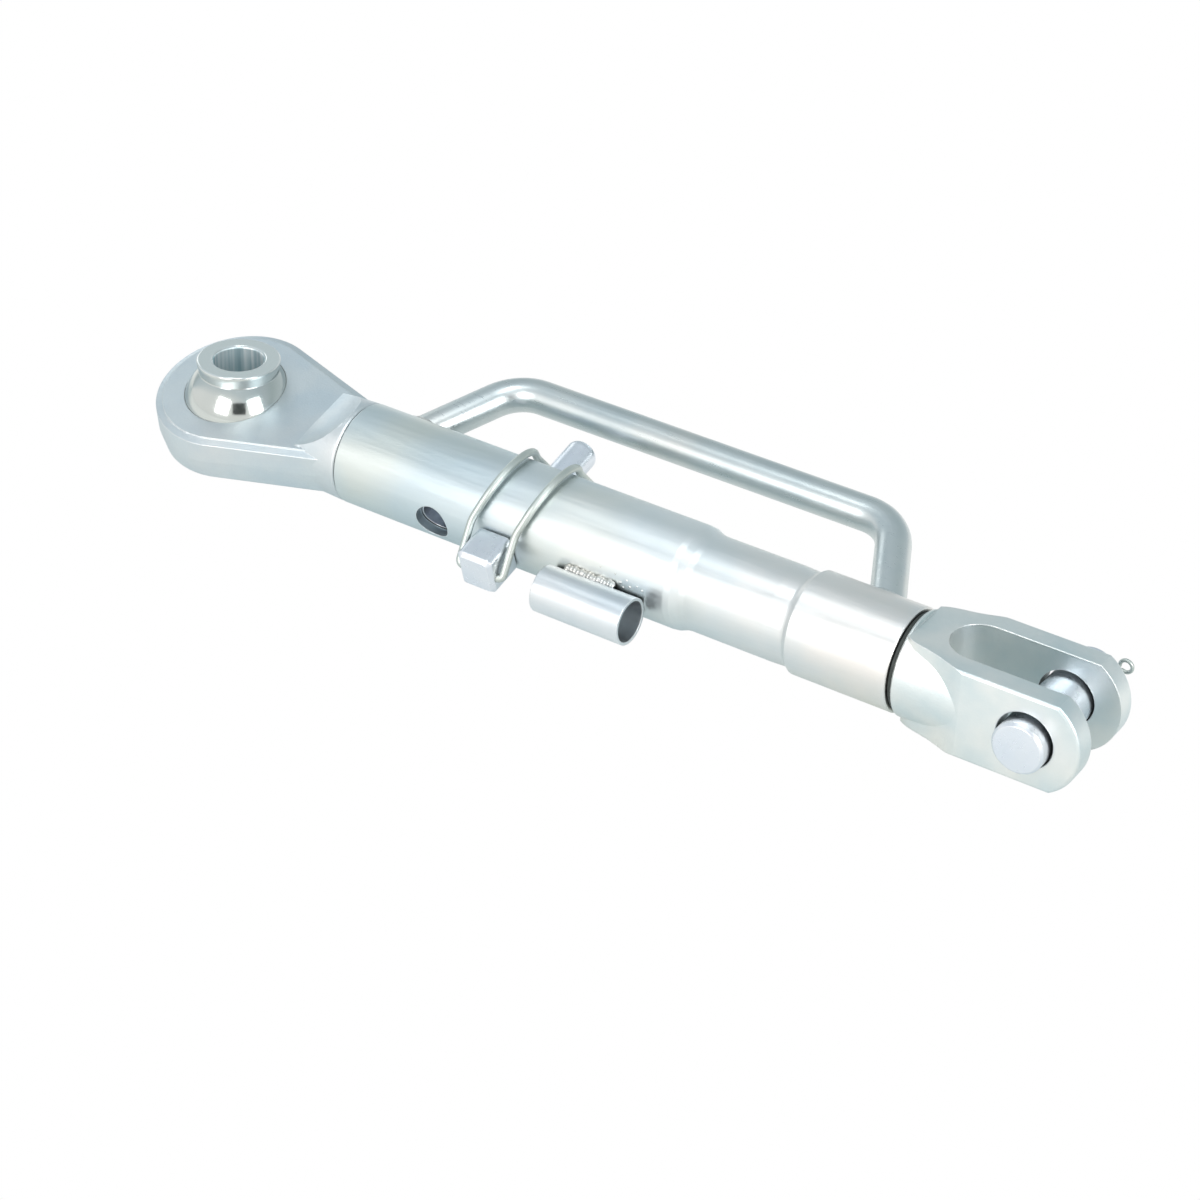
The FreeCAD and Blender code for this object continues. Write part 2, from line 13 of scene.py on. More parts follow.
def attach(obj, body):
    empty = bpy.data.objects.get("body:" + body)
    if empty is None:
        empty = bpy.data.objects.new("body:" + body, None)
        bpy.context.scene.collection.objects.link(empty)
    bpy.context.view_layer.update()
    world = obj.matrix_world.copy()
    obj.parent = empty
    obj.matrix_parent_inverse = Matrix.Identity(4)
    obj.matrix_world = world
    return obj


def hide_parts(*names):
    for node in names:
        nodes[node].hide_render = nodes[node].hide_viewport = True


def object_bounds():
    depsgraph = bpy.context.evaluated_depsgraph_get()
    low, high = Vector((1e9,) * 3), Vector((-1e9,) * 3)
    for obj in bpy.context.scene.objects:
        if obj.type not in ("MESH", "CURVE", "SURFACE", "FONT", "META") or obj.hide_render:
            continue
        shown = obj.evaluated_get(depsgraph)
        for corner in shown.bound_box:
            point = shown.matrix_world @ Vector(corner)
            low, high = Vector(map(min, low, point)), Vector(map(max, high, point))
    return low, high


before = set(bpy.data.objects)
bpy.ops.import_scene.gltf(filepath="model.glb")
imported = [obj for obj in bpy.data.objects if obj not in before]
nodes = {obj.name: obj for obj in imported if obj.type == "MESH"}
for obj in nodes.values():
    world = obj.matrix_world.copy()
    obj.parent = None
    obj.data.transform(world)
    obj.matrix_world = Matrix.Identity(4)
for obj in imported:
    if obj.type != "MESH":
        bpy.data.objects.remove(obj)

cad_low, cad_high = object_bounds()
print("CAD pieces:", len(nodes), "box in mm:", [round(1000 * side) for side in cad_high - cad_low])

# %% [markdown]
# The camera stands where the photograph was taken from: above the bar's near side and towards its
# clevis end, with a short telephoto lens. Its three axes are written out, because the photographer
# held the camera with a slight roll that no "look at" helper would give.

# %% Camera
camera_place = Vector((0.7835, -0.9184, 0.6784))
camera_right = Vector((0.8297, 0.5575, 0.0284)).normalized()
camera_ahead = Vector((-0.4556, 0.7057, -0.5427)).normalized()
camera_up = camera_right.cross(camera_ahead).normalized()
camera_right = camera_ahead.cross(camera_up)

camera_data = bpy.data.cameras.new("studio_camera")
camera_data.lens = 94.14
camera_data.sensor_width = 36.0
camera = bpy.data.objects.new("studio_camera", camera_data)
bpy.context.scene.collection.objects.link(camera)
turn = Matrix((camera_right, camera_up, -camera_ahead)).transposed()
camera.matrix_world = Matrix.Translation(camera_place) @ turn.to_4x4()
camera_data.clip_start = 0.05
camera_data.clip_end = 50.0
bpy.context.scene.camera = camera
print("camera height in mm:", round(1000 * camera_place.z))

# %% [markdown]
# The studio and the metals are all shader trees. Three helpers keep them short: one makes a node
# group with its sockets, one adds a node with its settings and links, and one adds a map range.

# %% Node helpers


def new_group(name, inputs, outputs):
    """A node group whose sockets are (name, type, default)."""
    group = bpy.data.node_groups.new(name, "ShaderNodeTree")
    for label, kind, value in inputs:
        socket = group.interface.new_socket(label, in_out="INPUT", socket_type=kind)
        socket.default_value = value
    for label, kind in outputs:
        group.interface.new_socket(label, in_out="OUTPUT", socket_type=kind)
    group.nodes.new("NodeGroupInput")
    group.nodes.new("NodeGroupOutput")
    return group


def add_node(tree, kind, links=None, **settings):
    """Add a node, set its properties and inputs, and link inputs to the given output sockets."""
    node = tree.nodes.new(kind)
    for key, value in settings.items():
        if key in node.inputs:
            node.inputs[key].default_value = value
        else:
            setattr(node, key, value)
    for key, output in (links or {}).items():
        tree.links.new(output, node.inputs[key])
    return node


def map_range(tree, value, low, high, to_low=0.0, to_high=1.0):
    """Add a map range; each of its four ends is a number, or a socket to link."""
    node = add_node(tree, "ShaderNodeMapRange", {"Value": value})
    ends = zip(("From Min", "From Max", "To Min", "To Max"), (low, high, to_low, to_high))
    for label, end in ends:
        if isinstance(end, bpy.types.NodeSocket):
            tree.links.new(end, node.inputs[label])
        else:
            node.inputs[label].default_value = end
    return node


print("helpers ready")

# %% [markdown]
# The studio is a white table in a bright, nearly empty room. Plated steel shows whatever stands
# around it, so the room is painted by angle round the bar: white from the near table up to the
# ceiling, then a darker blue-green wall behind, which gives the cool tone of the surfaces that face
# up. The paper glows a little by itself, as overexposed paper does, so shadows nearly vanish. The
# plating still mirrors the soft shade that the bar throws on the paper, so rays that come off the
# metal see the paper greyer close to the bar than the camera does. The camera itself looks through
# the paper at plain white, because the drawn pin and its swung bail reach lower than the table.

# %% Table
bpy.ops.object.select_all(action="DESELECT")
table_height = cad_low.z - 0.0002
bpy.ops.mesh.primitive_plane_add(size=24.0, location=(0.2, 0.0, table_height))
table = bpy.context.active_object
table.name = "studio_table"
paper = bpy.data.materials.new("studio_paper")
paper.use_nodes = True
paper_shader = paper.node_tree.nodes["Principled BSDF"]
paper_shader.inputs["Base Color"].default_value = (0.30, 0.30, 0.30, 1.0)
paper_shader.inputs["Roughness"].default_value = 0.95
paper_shader.inputs["Specular IOR Level"].default_value = 0.0
paper_shader.inputs["Emission Strength"].default_value = 0.78
paper_tree = paper.node_tree
seen_by = add_node(paper_tree, "ShaderNodeLightPath")
paper_place = add_node(paper_tree, "ShaderNodeTexCoord")
paper_split = add_node(paper_tree, "ShaderNodeSeparateXYZ", {"Vector": paper_place.outputs["Object"]})
from_bar = add_node(paper_tree, "ShaderNodeMath", {0: paper_split.outputs["Y"]}, operation="ABSOLUTE")
shade_share = map_range(paper_tree, from_bar.outputs["Value"], 0.015, 0.09)
bar_shade = add_node(paper_tree, "ShaderNodeValToRGB", {"Fac": shade_share.outputs["Result"]})
bar_shade.color_ramp.elements[0].color = (0.46, 0.55, 0.56, 1.0)
bar_shade.color_ramp.elements[1].color = (0.93, 0.93, 0.90, 1.0)
paper_glow = add_node(
    paper_tree, "ShaderNodeMix",
    {7: bar_shade.outputs["Color"], 0: seen_by.outputs["Is Glossy Ray"]}, data_type="RGBA",
)
paper_glow.inputs[6].default_value = (1.0, 0.995, 0.985, 1.0)
paper_tree.links.new(paper_glow.outputs[2], paper_shader.inputs["Emission Color"])
look_through = add_node(paper_tree, "ShaderNodeBsdfTransparent")
paper_surface = add_node(paper_tree, "ShaderNodeMixShader", {
    0: seen_by.outputs["Is Camera Ray"], 1: paper_shader.outputs["BSDF"], 2: look_through.outputs["BSDF"],
})
paper_output = paper_tree.nodes["Material Output"]
paper_tree.links.new(paper_surface.outputs["Shader"], paper_output.inputs["Surface"])
table.data.materials.append(paper)
print("table at mm:", round(1000 * table_height, 1))

# %% Room light, painted by angle round the bar
room = bpy.data.worlds.new("studio_room")
room.use_nodes = True
bpy.context.scene.world = room
sky = room.node_tree
background = sky.nodes["Background"]
direction = sky.nodes.new("ShaderNodeTexCoord")
split = sky.nodes.new("ShaderNodeSeparateXYZ")
near_side = sky.nodes.new("ShaderNodeMath")
near_side.operation = "MULTIPLY"
near_side.inputs[1].default_value = -1.0
around = sky.nodes.new("ShaderNodeMath")
around.operation = "ARCTAN2"
share = sky.nodes.new("ShaderNodeMapRange")
share.inputs["From Min"].default_value = -math.pi / 2
share.inputs["From Max"].default_value = 1.5 * math.pi
tone = sky.nodes.new("ShaderNodeValToRGB")
wrapped = sky.nodes.new("ShaderNodeMath")
wrapped.operation = "WRAP"
wrapped.inputs[1].default_value = 1.5 * math.pi
wrapped.inputs[2].default_value = -math.pi / 2
sky.links.new(direction.outputs["Generated"], split.inputs["Vector"])
sky.links.new(split.outputs["Y"], near_side.inputs[0])
sky.links.new(split.outputs["Z"], around.inputs[0])
sky.links.new(near_side.outputs["Value"], around.inputs[1])
sky.links.new(around.outputs["Value"], wrapped.inputs[0])
sky.links.new(wrapped.outputs["Value"], share.inputs["Value"])
sky.links.new(share.outputs["Result"], tone.inputs["Fac"])
white_behind = sky.nodes.new("ShaderNodeMix")
white_behind.data_type = "RGBA"
white_behind.inputs[7].default_value = (1.0, 1.0, 1.0, 1.0)
room_seen_by = sky.nodes.new("ShaderNodeLightPath")
sky.links.new(room_seen_by.outputs["Is Camera Ray"], white_behind.inputs[0])
sky.links.new(tone.outputs["Color"], white_behind.inputs[6])
sky.links.new(white_behind.outputs[2], background.inputs["Color"])
room_tones = [
    (-90, (0.76, 0.80, 0.80)),
    (-12, (0.84, 0.87, 0.88)),
    (6, (1.02, 1.02, 1.01)),
    (36, (1.02, 1.02, 1.02)),
    (56, (0.72, 0.79, 0.83)),
    (92, (0.62, 0.71, 0.76)),
    (112, (0.60, 0.67, 0.71)),
    (140, (0.50, 0.58, 0.60)),
    (168, (0.64, 0.71, 0.74)),
    (190, (0.85, 0.87, 0.87)),
]
ramp = tone.color_ramp
ramp.elements[0].position = 0.0
ramp.elements[0].color = (*room_tones[0][1], 1.0)
ramp.elements[1].position = (room_tones[-1][0] + 90) / 360
ramp.elements[1].color = (*room_tones[-1][1], 1.0)
for degrees, colour in room_tones[1:-1]:
    stop = ramp.elements.new((degrees + 90) / 360)
    stop.color = (*colour, 1.0)
background.inputs["Strength"].default_value = 1.0
bpy.context.scene.view_settings.view_transform = "Standard"
print("room tones:", len(ramp.elements))

# %% [markdown]
# Two big soft boxes add the sparkle that a room alone can't: crisp white shapes in the polished ball
# and on every rounded edge. A weaker one lies overhead. The ball shows the big ones as two white
# panels with something dark between, which is the photographer standing in the gap, so a grey card
# stands there. A small fill light low behind the eye keeps the ramp of its neck from going dark.

# %% Soft boxes


def aim(item, place, target):
    item.location = place
    item.rotation_euler = (Vector(target) - Vector(place)).to_track_quat("-Z", "Y").to_euler()


def soft_box(name, place, target, width, depth, watts):
    lamp_data = bpy.data.lights.new(name, "AREA")
    lamp_data.shape = "RECTANGLE"
    lamp_data.size = width
    lamp_data.size_y = depth
    lamp_data.energy = watts
    lamp = bpy.data.objects.new(name, lamp_data)
    aim(lamp, place, target)
    bpy.context.scene.collection.objects.link(lamp)
    return lamp


bar_middle = (0.2, 0.0, 0.0)
soft_box("left_box", (0.02, -1.45, 0.66), (0.0, 0.0, 0.0), 0.75, 0.85, 10.0)
soft_box("right_box", (1.42, -0.42, 0.66), (0.0, 0.0, 0.0), 0.75, 0.85, 10.0)
soft_box("overhead_box", (0.1, -0.35, 1.5), bar_middle, 0.9, 0.4, 4.0)
soft_box("neck_fill", (-0.70, 0.40, 0.36), (0.035, 0.0, 0.01), 0.34, 0.34, 0.4)

# %% Grey card in the gap
bpy.ops.object.select_all(action="DESELECT")
bpy.ops.mesh.primitive_plane_add(size=1.0)
card = bpy.context.active_object
card.name = "studio_card"
card.scale = (0.70, 0.62, 1.0)
aim(card, (0.84, -1.10, 0.60), (0.0, 0.0, 0.0))
card_grey = bpy.data.materials.new("studio_card_grey")
card_grey.use_nodes = True
card_shader = card_grey.node_tree.nodes["Principled BSDF"]
card_shader.inputs["Base Color"].default_value = (0.05, 0.055, 0.055, 1.0)
card_shader.inputs["Roughness"].default_value = 0.9
card.data.materials.append(card_grey)
print("card at mm:", [round(1000 * part) for part in card.location])

# %% [markdown]
# Every steel piece here is zinc plated with a clear, slightly blue film. A few effects come back in
# many finishes, so each is a node group built once: the cloudy tint of the film, its drift along the
# bar, the fine grain of the metal under it, rubbed edges with a painted highlight, and painted shade
# in crevices. A group hands out colours, masks, heights and normals, and each material keeps its own
# metal shader.

# %% Group: cloudy plating tint
tint_group = new_group(
    "plating_tint",
    [
        ("Vector", "NodeSocketVector", (0, 0, 0)),
        ("Base", "NodeSocketColor", (0.7, 0.75, 0.78, 1)),
        ("Cool", "NodeSocketColor", (0.6, 0.7, 0.78, 1)),
        ("Warm", "NodeSocketColor", (0.8, 0.76, 0.68, 1)),
        ("Scale", "NodeSocketFloat", 30.0),
        ("Cool Amount", "NodeSocketFloat", 0.5),
        ("Warm Amount", "NodeSocketFloat", 0.25),
    ],
    [("Color", "NodeSocketColor")],
)
inside = tint_group.nodes["Group Input"].outputs
cloud = add_node(
    tint_group, "ShaderNodeTexNoise", {"Vector": inside["Vector"], "Scale": inside["Scale"]},
    Detail=3.0, Roughness=0.55,
)
cool_mask = map_range(tint_group, cloud.outputs["Fac"], 0.38, 0.68, to_high=inside["Cool Amount"])
cooled = add_node(
    tint_group, "ShaderNodeMix",
    {6: inside["Base"], 7: inside["Cool"], 0: cool_mask.outputs["Result"]}, data_type="RGBA",
)
patch = add_node(
    tint_group, "ShaderNodeTexNoise", {"Vector": inside["Vector"]}, Scale=17.0, Detail=2.0,
)
warm_mask = map_range(tint_group, patch.outputs["Fac"], 0.52, 0.72, to_high=inside["Warm Amount"])
warmed = add_node(
    tint_group, "ShaderNodeMix",
    {6: cooled.outputs[2], 7: inside["Warm"], 0: warm_mask.outputs["Result"]}, data_type="RGBA",
)
tint_group.links.new(warmed.outputs[2], tint_group.nodes["Group Output"].inputs["Color"])
print("group", tint_group.name, "nodes", len(tint_group.nodes))

# %% [markdown]
# The film isn't the same from end to end: it is bluish by the eye, neutral in the middle and warm at
# the sleeve. A group reads the place along the bar, disturbs it with a little noise so that no
# border shows, and mixes three colours.

# %% Group: tint that drifts along the bar
drift_group = new_group(
    "tint_drift",
    [
        ("Vector", "NodeSocketVector", (0, 0, 0)),
        ("Left", "NodeSocketColor", (0.6, 0.7, 0.74, 1)),
        ("Middle", "NodeSocketColor", (0.8, 0.83, 0.84, 1)),
        ("Right", "NodeSocketColor", (0.84, 0.8, 0.76, 1)),
    ],
    [("Color", "NodeSocketColor")],
)
inside = drift_group.nodes["Group Input"].outputs
drift_noise = add_node(
    drift_group, "ShaderNodeTexNoise", {"Vector": inside["Vector"]}, Scale=22.0, Detail=3.0,
)
drift_noise_share = map_range(drift_group, drift_noise.outputs["Fac"], 0.0, 1.0, -0.05, 0.05)
drift_place = add_node(drift_group, "ShaderNodeSeparateXYZ", {"Vector": inside["Vector"]})
drift_x = add_node(
    drift_group, "ShaderNodeMath", {0: drift_place.outputs["X"], 1: drift_noise_share.outputs["Result"]},
    operation="ADD",
)
to_middle = map_range(drift_group, drift_x.outputs["Value"], 0.12, 0.20)
to_right = map_range(drift_group, drift_x.outputs["Value"], 0.21, 0.31)
left_mix = add_node(
    drift_group, "ShaderNodeMix",
    {6: inside["Left"], 7: inside["Middle"], 0: to_middle.outputs["Result"]}, data_type="RGBA",
)
right_mix = add_node(
    drift_group, "ShaderNodeMix",
    {6: left_mix.outputs[2], 7: inside["Right"], 0: to_right.outputs["Result"]}, data_type="RGBA",
)
drift_group.links.new(right_mix.outputs[2], drift_group.nodes["Group Output"].inputs["Color"])
print("group", drift_group.name, "nodes", len(drift_group.nodes))

# %% Group: fine metal grain
grain_group = new_group(
    "metal_grain",
    [
        ("Vector", "NodeSocketVector", (0, 0, 0)),
        ("Scale", "NodeSocketFloat", 900.0),
        ("Stretch", "NodeSocketVector", (1, 1, 1)),
        ("Rough Low", "NodeSocketFloat", 0.28),
        ("Rough High", "NodeSocketFloat", 0.42),
    ],
    [("Height", "NodeSocketFloat"), ("Roughness", "NodeSocketFloat")],
)
inside = grain_group.nodes["Group Input"].outputs
stretched = add_node(
    grain_group, "ShaderNodeVectorMath", {0: inside["Vector"], 1: inside["Stretch"]}, operation="MULTIPLY",
)
fine = add_node(
    grain_group, "ShaderNodeTexNoise",
    {"Vector": stretched.outputs["Vector"], "Scale": inside["Scale"]}, Detail=4.0, Roughness=0.6,
)
rough = map_range(grain_group, fine.outputs["Fac"], 0.3, 0.7, inside["Rough Low"], inside["Rough High"])
grain_out = grain_group.nodes["Group Output"]
grain_group.links.new(fine.outputs["Fac"], grain_out.inputs["Height"])
grain_group.links.new(rough.outputs["Result"], grain_out.inputs["Roughness"])
print("group", grain_group.name, "nodes", len(grain_group.nodes))

# %% [markdown]
# Plating is thinnest where a corner has rubbed, and a real corner is never quite sharp. This group
# rounds the normal over a small radius and compares it with the plain one: where they differ, there
# is an edge. The rounded normal catches a fine line of light, and the mask brightens the colour
# there: partly rubbed plating, partly a painted highlight along the edge.

# %% Group: worn edge and painted highlight
edge_group = new_group(
    "worn_edge_and_highlight",
    [("Amount", "NodeSocketFloat", 0.5)],
    [("Mask", "NodeSocketFloat"), ("Normal", "NodeSocketVector")],
)
inside = edge_group.nodes["Group Input"].outputs
rounded = add_node(edge_group, "ShaderNodeBevel", samples=6, Radius=0.0006)
plain = add_node(edge_group, "ShaderNodeNewGeometry")
likeness = add_node(
    edge_group, "ShaderNodeVectorMath", {0: rounded.outputs["Normal"], 1: plain.outputs["Normal"]},
    operation="DOT_PRODUCT",
)
edge_mask = map_range(edge_group, likeness.outputs["Value"], 0.995, 0.86, to_high=inside["Amount"])
edge_out = edge_group.nodes["Group Output"]
edge_group.links.new(edge_mask.outputs["Result"], edge_out.inputs["Mask"])
edge_group.links.new(rounded.outputs["Normal"], edge_out.inputs["Normal"])
print("group", edge_group.name, "nodes", len(edge_group.nodes))

# %% [markdown]
# Shade gathers where two pieces nearly touch: round the ball, under the wires and behind the pin's
# head. This group asks how closed in each point is, and gives a mask for painted shade there.

# %% Group: painted crevice shade
crevice_group = new_group(
    "painted_crevice_shade",
    [("Reach", "NodeSocketFloat", 0.003), ("Amount", "NodeSocketFloat", 0.8)],
    [("Mask", "NodeSocketFloat")],
)
inside = crevice_group.nodes["Group Input"].outputs
closeness = add_node(
    crevice_group, "ShaderNodeAmbientOcclusion", {"Distance": inside["Reach"]}, samples=6,
)
crevice_mask = map_range(crevice_group, closeness.outputs["AO"], 0.55, 0.10, to_high=inside["Amount"])
crevice_out = crevice_group.nodes["Group Output"]
crevice_group.links.new(crevice_mask.outputs["Result"], crevice_out.inputs["Mask"])
print("group", crevice_group.name, "nodes", len(crevice_group.nodes))

# %% [markdown]
# One function makes every zinc finish from those groups. What differs between a drawn tube, a
# blasted forging and bright wire is only numbers: the tint, the size and direction of the grain, how
# rough it is and how deep the bump goes.

# %% Zinc finishes
# Pale edge colour: partly rubbed plating, partly painted highlight. Dark crevice colour: painted shade.
worn_and_highlit_metal = (0.93, 0.93, 0.91)
crevice_shade_colour = (0.06, 0.08, 0.08)
along_bar = (0.05, 1.0, 1.0)
even = (1.0, 1.0, 1.0)


def zinc(name, base, cool, warm, clouds, grains, roughness, bump, wear_and_highlight=0.6, crevices=0.8):
    """clouds: scale, cool share, warm share. grains: scale, stretch. roughness: low, high.

    base is one colour, or three that drift along the bar. Thin round wire has no edges and lies
    close to the tube all along, so it gets neither rubbed edges with a painted highlight nor
    painted crevice shade.
    """
    material = bpy.data.materials.new(name)
    material.use_nodes = True
    tree = material.node_tree
    shader = tree.nodes["Principled BSDF"]
    place = add_node(tree, "ShaderNodeTexCoord")
    tint = add_node(tree, "ShaderNodeGroup", node_tree=tint_group)
    if isinstance(base[0], tuple):
        drift = add_node(
            tree, "ShaderNodeGroup", {"Vector": place.outputs["Object"]}, node_tree=drift_group,
        )
        for socket, colour in zip(("Left", "Middle", "Right"), base):
            drift.inputs[socket].default_value = (*colour, 1)
        tree.links.new(drift.outputs["Color"], tint.inputs["Base"])
    else:
        tint.inputs["Base"].default_value = (*base, 1)
    tint.inputs["Cool"].default_value = (*cool, 1)
    tint.inputs["Warm"].default_value = (*warm, 1)
    tint.inputs["Scale"].default_value = clouds[0]
    tint.inputs["Cool Amount"].default_value = clouds[1]
    tint.inputs["Warm Amount"].default_value = clouds[2]
    grain = add_node(tree, "ShaderNodeGroup", node_tree=grain_group)
    grain.inputs["Scale"].default_value = grains[0]
    grain.inputs["Stretch"].default_value = grains[1]
    grain.inputs["Rough Low"].default_value = roughness[0]
    grain.inputs["Rough High"].default_value = roughness[1]
    tree.links.new(place.outputs["Object"], tint.inputs["Vector"])
    tree.links.new(place.outputs["Object"], grain.inputs["Vector"])
    colour_now = tint.outputs["Color"]
    relief = add_node(
        tree, "ShaderNodeBump", {"Height": grain.outputs["Height"]}, Strength=1.0, Distance=bump,
    )
    # Pale edges: partly rubbed plating, partly a painted highlight.
    if wear_and_highlight > 0:
        edge = add_node(tree, "ShaderNodeGroup", node_tree=edge_group)
        edge.inputs["Amount"].default_value = wear_and_highlight
        rubbed_and_highlit = add_node(
            tree, "ShaderNodeMix", {6: colour_now, 0: edge.outputs["Mask"]}, data_type="RGBA",
        )
        rubbed_and_highlit.inputs[7].default_value = (*worn_and_highlit_metal, 1)
        colour_now = rubbed_and_highlit.outputs[2]
        tree.links.new(edge.outputs["Normal"], relief.inputs["Normal"])
    # Painted shade where the point is closed in by neighbouring surfaces.
    if crevices > 0:
        crevice = add_node(tree, "ShaderNodeGroup", node_tree=crevice_group)
        crevice.inputs["Amount"].default_value = crevices
        shaded = add_node(
            tree, "ShaderNodeMix", {6: colour_now, 0: crevice.outputs["Mask"]}, data_type="RGBA",
        )
        shaded.inputs[7].default_value = (*crevice_shade_colour, 1)
        colour_now = shaded.outputs[2]
    tree.links.new(colour_now, shader.inputs["Base Color"])
    tree.links.new(grain.outputs["Roughness"], shader.inputs["Roughness"])
    tree.links.new(relief.outputs["Normal"], shader.inputs["Normal"])
    shader.inputs["Metallic"].default_value = 1.0
    return material


# %% The nine finishes
drawn_tube = zinc(
    "zinc_drawn_tube", ((0.60, 0.68, 0.71), (0.76, 0.80, 0.81), (0.80, 0.77, 0.74)),
    (0.60, 0.69, 0.73), (0.86, 0.79, 0.62),
    (24.0, 0.50, 0.28), (700.0, along_bar), (0.32, 0.46), 0.00002,
)
holder_finish = zinc(
    "zinc_holder", (0.74, 0.77, 0.79), (0.60, 0.67, 0.72), (0.82, 0.77, 0.74),
    (40.0, 0.55, 0.30), (900.0, along_bar), (0.28, 0.40), 0.00002,
)
forged_eye = zinc(
    "zinc_forged_eye", (0.65, 0.70, 0.72), (0.56, 0.64, 0.69), (0.73, 0.69, 0.66),
    (55.0, 0.70, 0.40), (1100.0, even), (0.34, 0.50), 0.00009,
)
forged_clevis = zinc(
    "zinc_forged_clevis", (0.82, 0.83, 0.81), (0.52, 0.65, 0.69), (0.94, 0.87, 0.79),
    (30.0, 0.60, 0.75), (1100.0, even), (0.32, 0.48), 0.00006,
)
turned_bar = zinc(
    "zinc_turned", (0.78, 0.81, 0.86), (0.68, 0.74, 0.82), (0.82, 0.80, 0.79),
    (60.0, 0.50, 0.15), (500.0, even), (0.26, 0.36), 0.000004,
)
handle_bar = zinc(
    "zinc_handle", (0.61, 0.65, 0.65), (0.50, 0.57, 0.59), (0.70, 0.63, 0.56),
    (45.0, 0.65, 0.35), (900.0, along_bar), (0.26, 0.38), 0.00002,
)
bright_wire = zinc(
    "zinc_wire", (0.56, 0.60, 0.57), (0.46, 0.53, 0.52), (0.63, 0.60, 0.53),
    (80.0, 0.40, 0.20), (300.0, even), (0.40, 0.46), 0.0000005, 0, 0,
)
weld_metal = zinc(
    "zinc_weld", (0.76, 0.77, 0.76), (0.46, 0.50, 0.50), (0.50, 0.42, 0.34),
    (260.0, 0.60, 0.45), (700.0, even), (0.24, 0.44), 0.00005, 0, 0.9,
)
polished = zinc(
    "polished_ball", (0.60, 0.63, 0.61), (0.50, 0.55, 0.54), (0.66, 0.64, 0.58),
    (50.0, 0.40, 0.20), (600.0, even), (0.09, 0.16), 0.000002,
)
print("zinc finishes:", len([item for item in bpy.data.materials if item.name.startswith("zinc")]))

# %% [markdown]
# The ball is turned, not forged. Its flat collars are brighter than its belly. The bore is duller,
# keeps the blue-green of the film, and carries a painted reflection: long light stripes along it.
# All three are found from the place on the ball.

# %% The ball's collars and bore
ball_tree = polished.node_tree
ball_shader = ball_tree.nodes["Principled BSDF"]
ball_colour = ball_shader.inputs["Base Color"].links[0].from_socket
ball_place = add_node(ball_tree, "ShaderNodeTexCoord")
ball_split = add_node(ball_tree, "ShaderNodeSeparateXYZ", {"Vector": ball_place.outputs["Object"]})
ball_height = add_node(ball_tree, "ShaderNodeMath", {0: ball_split.outputs["Z"]}, operation="ABSOLUTE")
on_collar = map_range(ball_tree, ball_height.outputs["Value"], 0.0230, 0.0236)
ball_flat = add_node(
    ball_tree, "ShaderNodeVectorMath", {0: ball_place.outputs["Object"]}, operation="MULTIPLY",
)
ball_flat.inputs[1].default_value = (1.0, 1.0, 0.0)
ball_reach = add_node(
    ball_tree, "ShaderNodeVectorMath", {0: ball_flat.outputs["Vector"]}, operation="LENGTH",
)
in_bore = map_range(ball_tree, ball_reach.outputs["Value"], 0.0116, 0.0112)
collar_mix = add_node(
    ball_tree, "ShaderNodeMix", {6: ball_colour, 0: on_collar.outputs["Result"]}, data_type="RGBA",
)
collar_mix.inputs[7].default_value = (0.86, 0.88, 0.87, 1)
bore_mix = add_node(
    ball_tree, "ShaderNodeMix", {6: collar_mix.outputs[2], 0: in_bore.outputs["Result"]}, data_type="RGBA",
)
ball_tree.links.new(bore_mix.outputs[2], ball_shader.inputs["Base Color"])
# Painted reflection: long light stripes along the bore, drawn from stretched noise.
long_stripes = add_node(
    ball_tree, "ShaderNodeVectorMath", {0: ball_place.outputs["Object"]}, operation="MULTIPLY",
)
long_stripes.inputs[1].default_value = (1.0, 1.0, 0.03)
bore_reflection_stripes = add_node(
    ball_tree, "ShaderNodeTexNoise", {"Vector": long_stripes.outputs["Vector"]}, Scale=330.0, Detail=2.0,
)
bore_tone = add_node(ball_tree, "ShaderNodeValToRGB", {"Fac": bore_reflection_stripes.outputs["Fac"]})
bore_tone.color_ramp.elements[0].position = 0.38
bore_tone.color_ramp.elements[0].color = (0.46, 0.60, 0.64, 1)
bore_tone.color_ramp.elements[1].position = 0.62
bore_tone.color_ramp.elements[1].color = (0.95, 0.97, 0.97, 1)
ball_tree.links.new(bore_tone.outputs["Color"], bore_mix.inputs[7])
ball_rough = ball_shader.inputs["Roughness"].links[0].from_socket
rough_mix = add_node(
    ball_tree, "ShaderNodeMix", {2: ball_rough, 0: in_bore.outputs["Result"]}, data_type="FLOAT",
)
rough_mix.inputs[3].default_value = 0.5
ball_tree.links.new(rough_mix.outputs[0], ball_shader.inputs["Roughness"])
print("ball nodes:", len(ball_tree.nodes))

# %% [markdown]
# The seal behind the clevis is black rubber: not metal, nearly black, and a little dusty.

# %% Rubber
rubber = bpy.data.materials.new("black_rubber")
rubber.use_nodes = True
rubber_tree = rubber.node_tree
rubber_shader = rubber_tree.nodes["Principled BSDF"]
rubber_place = add_node(rubber_tree, "ShaderNodeTexCoord")
dust = add_node(
    rubber_tree, "ShaderNodeTexNoise", {"Vector": rubber_place.outputs["Object"]}, Scale=400.0, Detail=4.0,
)
dust_tone = add_node(rubber_tree, "ShaderNodeValToRGB", {"Fac": dust.outputs["Fac"]})
dust_tone.color_ramp.elements[0].color = (0.012, 0.016, 0.015, 1)
dust_tone.color_ramp.elements[1].color = (0.05, 0.06, 0.055, 1)
rubber_tree.links.new(dust_tone.outputs["Color"], rubber_shader.inputs["Base Color"])
rubber_shader.inputs["Roughness"].default_value = 0.6
print("rubber ready")

